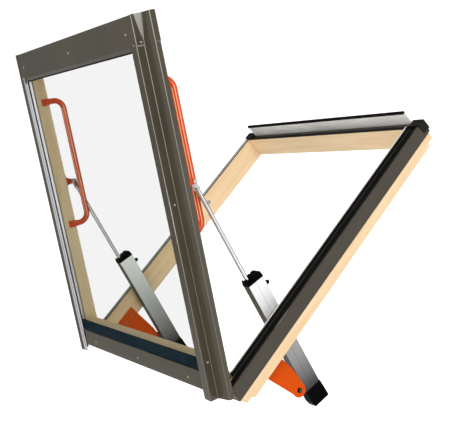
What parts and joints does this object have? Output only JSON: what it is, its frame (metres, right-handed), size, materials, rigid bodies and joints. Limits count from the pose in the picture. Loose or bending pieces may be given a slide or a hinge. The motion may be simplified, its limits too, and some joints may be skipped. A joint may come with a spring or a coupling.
{
  "type": "roof skylight",
  "caption": "Bottom-hung roof window for smoke venting: pine frame with dark metal cladding and a double-glazed sash held open by two side actuators.",
  "frame": {"origin": "middle of the back face of the frame's bottom member, which rests on the roof structure", "axes": "+X across the window to its right as seen from below the low end looking up the slope, +Y up the slope of the roof, +Z outwards, square to the roof plane"},
  "size_m": [1.1492, 1.2561, 1.3935],
  "materials": {
    "pine": "satin lacquer over light pine",
    "cladding_brown": "satin dark taupe paint",
    "seal_black": "matt black",
    "bead_grey": "satin light grey",
    "corner_cap": "matt near black",
    "upstand_grey": "satin light grey",
    "bracket_orange": "semi gloss orange powder coat",
    "housing_black": "satin black",
    "housing_aluminium": "satin anodised",
    "rod_steel": "polished",
    "fitting_steel": "zinc plated",
    "washer_black": "matt black",
    "cover_screw": "satin",
    "pane": "clear",
    "spacer": "bright mill finish",
    "edge_band": "dark glass edge coating"
  },
  "bodies": {
    "frame": {"frame_side_right": "pine", "frame_side_left": "pine", "frame_top": "pine", "frame_bottom": "pine", "side_cladding_right": "cladding_brown", "side_cladding_left": "cladding_brown", "lower_cladding": "cladding_brown", "top_cladding": "cladding_brown", "frame_seal": "seal_black", "lip_seals": "seal_black", "lip_beads": "bead_grey", "top_upstand": "upstand_grey", "upstand_seal": "seal_black", "corner_cap_right": "corner_cap", "corner_cap_left": "corner_cap", "frame_hinges": "fitting_steel", "hinge_pins": "fitting_steel", "actuator_plate_right": "bracket_orange", "actuator_plate_left": "bracket_orange", "swivel_bolts": "fitting_steel", "swivel_washers": "washer_black", "frame_screws": "fitting_steel"},
    "sash": {"sash_side_right": "pine", "sash_side_left": "pine", "sash_top": "pine", "sash_bottom": "pine", "sash_hinge_arms": "fitting_steel", "inner_pane": "pane", "outer_pane": "pane", "glass_spacer": "spacer", "glass_band": "edge_band", "inner_gasket": "seal_black", "outer_gasket": "seal_black", "side_cover_right": "cladding_brown", "side_cover_left": "cladding_brown", "top_cover": "cladding_brown", "bottom_cover": "cladding_brown", "cover_cap_right": "cladding_brown", "cover_cap_left": "cladding_brown", "cover_screws": "cover_screw", "bow_right": "bracket_orange", "bow_left": "bracket_orange", "sash_screws": "fitting_steel", "rod_bracket_right": "bracket_orange", "rod_bracket_left": "bracket_orange", "rod_bolts": "fitting_steel"},
    "actuator_right": {"housing_right": "housing_aluminium", "housing_head_right": "housing_black", "housing_foot_right": "housing_black", "swivel_lug_right": "housing_aluminium", "cable_gland_right": "washer_black"},
    "rod_right": {"push_rod_right": "rod_steel", "rod_eye_right": "fitting_steel"},
    "actuator_left": {"housing_left": "housing_aluminium", "housing_head_left": "housing_black", "housing_foot_left": "housing_black", "swivel_lug_left": "housing_aluminium", "cable_gland_left": "washer_black"},
    "rod_left": {"push_rod_left": "rod_steel", "rod_eye_left": "fitting_steel"}
  },
  "joints": [
    {"name": "sash_hinge", "type": "hinge", "parent": "frame", "child": "sash", "pos_m": [0, -0.0208, 0.08465], "axis": [1, 0, 0], "range_deg": [-56, 0]},
    {"name": "actuator_swivel_right", "type": "hinge", "parent": "frame", "child": "actuator_right", "pos_m": [0.4925, 0.1435, -0.164], "axis": [1, 0, 0], "range_deg": [-49.2, 0.1]},
    {"name": "rod_slide_right", "type": "slide", "parent": "actuator_right", "child": "rod_right", "axis": [0, 0.2617, 0.9651], "range_m": [-0.2735, 0.0005]},
    {"name": "actuator_swivel_left", "type": "hinge", "parent": "frame", "child": "actuator_left", "pos_m": [-0.4925, 0.1435, -0.164], "axis": [1, 0, 0], "range_deg": [-49.2, 0.1]},
    {"name": "rod_slide_left", "type": "slide", "parent": "actuator_left", "child": "rod_left", "axis": [0, 0.2617, 0.9651], "range_m": [-0.2735, 0.0005]}
  ],
  "couplings": [
    {"joint": "actuator_swivel_right", "follows": "sash_hinge", "ratio": 0.87614},
    {"joint": "rod_slide_right", "follows": "sash_hinge", "m_per_rad": 0.27912},
    {"joint": "actuator_swivel_left", "follows": "sash_hinge", "ratio": 0.87614},
    {"joint": "rod_slide_left", "follows": "sash_hinge", "m_per_rad": 0.27912}
  ]
}
